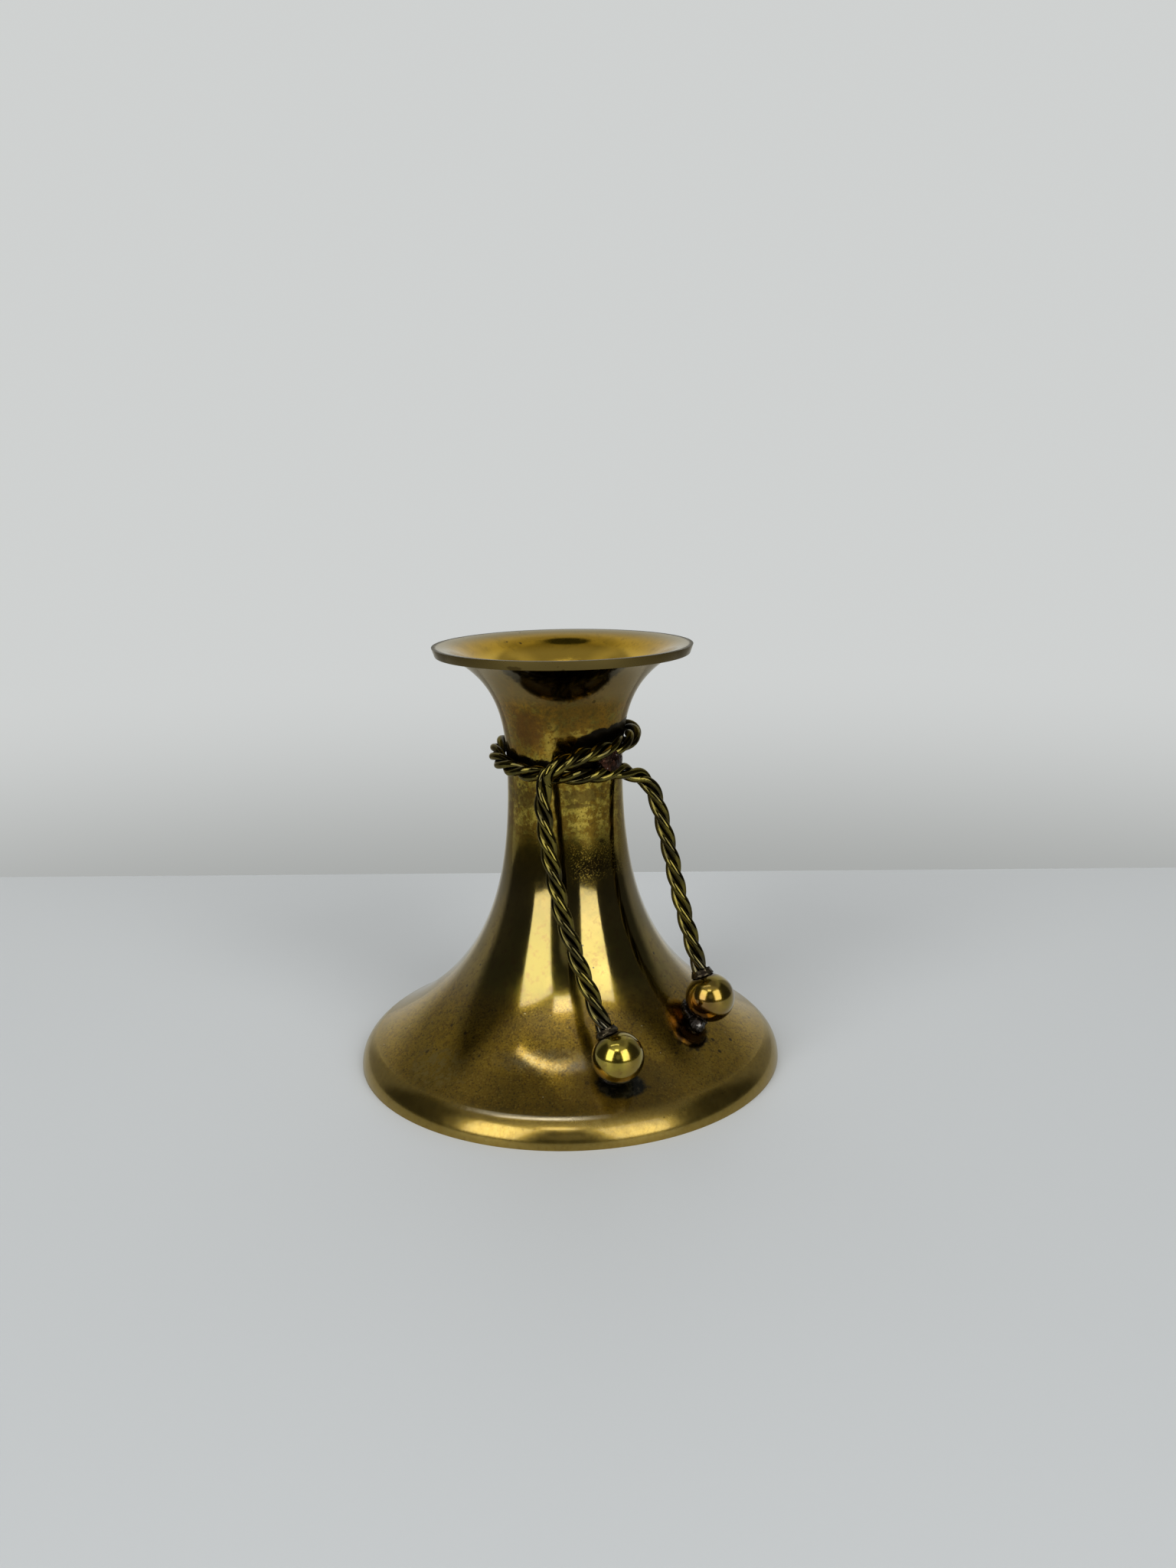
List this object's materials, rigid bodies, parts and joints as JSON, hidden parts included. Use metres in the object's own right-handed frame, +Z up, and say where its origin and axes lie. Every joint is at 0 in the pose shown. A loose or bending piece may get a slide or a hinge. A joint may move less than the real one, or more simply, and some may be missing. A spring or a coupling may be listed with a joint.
{
  "type": "candle holder",
  "caption": "Spun brass candle holder with a flared foot and rim, a twisted wire rope tied round its neck and a polished ball soldered on each rope end.",
  "frame": {"origin": "centre of the foot on the table", "axes": "+Z up along the candle's axis, -Y towards the front, where the front rope tail and its ball hang"},
  "size_m": [0.096, 0.096, 0.0945],
  "materials": {
    "aged_brass": "spun and polished long ago, now with an olive and brown patina",
    "dark_brass_wire": "drawn wire, dark in the grooves and bright on the crests",
    "polished_brass": "polished",
    "solder": "dull grey and red-brown, with bright specks"
  },
  "bodies": {
    "root": {"candle_body": "aged_brass", "candle_stop": "aged_brass", "stop_solder": "solder", "rope_wire_1": "dark_brass_wire", "rope_wire_2": "dark_brass_wire", "rope_wire_3": "dark_brass_wire", "front_ball": "polished_brass", "side_ball": "polished_brass", "front_ball_solder": "solder", "side_ball_solder": "solder", "front_rope_solder": "solder", "side_rope_solder": "solder", "neck_solder": "solder"}
  },
  "joints": []
}
